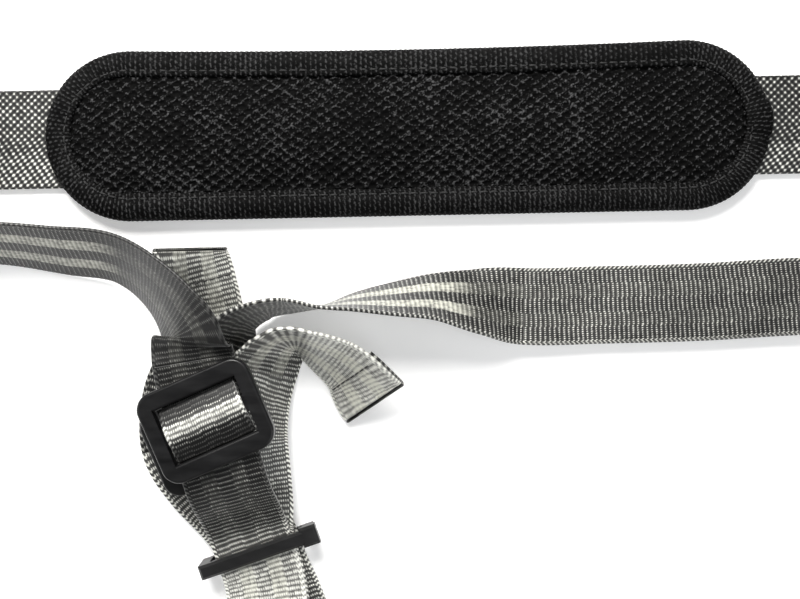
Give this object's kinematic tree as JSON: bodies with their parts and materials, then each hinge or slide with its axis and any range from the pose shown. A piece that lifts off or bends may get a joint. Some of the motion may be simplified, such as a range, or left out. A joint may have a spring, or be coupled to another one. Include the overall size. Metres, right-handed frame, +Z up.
{
  "type": "padded harness strap",
  "caption": "Padded carrying strap with ribbed webbing, sliding adjusters, a strap keeper and a lug loop at each free end.",
  "frame": {"origin": "centre of the underside of the pad's webbing sleeve", "axes": "+X along the pad to the wearer's right, +Y away from the hanging straps, +Z up out of the mesh face"},
  "size_m": [0.3799, 0.2338, 0.03],
  "materials": {
    "webbing": "ribbed polyester webbing with a satin sheen",
    "spacer_mesh": "matt knitted spacer mesh",
    "binding_tape": "ribbed grosgrain tape",
    "lining": "plain woven nylon",
    "foam": "closed-cell foam",
    "thread": "polyester sewing thread",
    "plastic": "moulded acetal with a fine grain"
  },
  "bodies": {
    "harness": {"pad_webbing": "webbing", "left_join_stitching": "thread", "right_join_stitching": "thread", "left_strap_turn": "webbing", "left_strap": "webbing", "left_strand": "webbing", "left_loop_top": "webbing", "left_lug_loop": "webbing", "left_return": "webbing", "left_tail": "webbing", "left_tail_hem": "webbing", "left_tail_hem_stitching": "thread", "right_strap_turn": "webbing", "right_strap": "webbing", "right_strap_twist": "webbing", "right_strand": "webbing", "right_loop_top": "webbing", "right_lug_loop": "webbing", "right_return": "webbing", "right_tail": "webbing", "right_tail_hem": "webbing", "right_tail_hem_stitching": "thread"},
    "pad": {"pad_foam": "foam", "pad_mesh_cover": "spacer_mesh", "pad_back_panel": "lining", "pad_binding": "binding_tape", "pad_sleeve": "lining", "pad_edge_stitching": "thread"},
    "upper_adjuster": {"upper_slider": "plastic", "upper_slider_wrap": "webbing"},
    "lower_adjuster": {"lower_slider": "plastic", "lower_slider_wrap": "webbing"},
    "strap_keeper": {"keeper": "plastic"}
  },
  "joints": [
    {"name": "pad_slide", "type": "slide", "parent": "harness", "child": "pad", "axis": [1, 0, 0], "range_m": [-0.018, 0.018]},
    {"name": "upper_adjuster_slide", "type": "slide", "parent": "harness", "child": "upper_adjuster", "axis": [-0.342, 0.9397, 0], "range_m": [-0.008, 0]},
    {"name": "lower_adjuster_slide", "type": "slide", "parent": "harness", "child": "lower_adjuster", "axis": [-0.342, 0.9397, 0], "range_m": [-0.003, 0.0005]},
    {"name": "strap_keeper_slide", "type": "slide", "parent": "harness", "child": "strap_keeper", "axis": [-0.342, 0.9397, 0], "range_m": [-0.004, 0.002]}
  ]
}
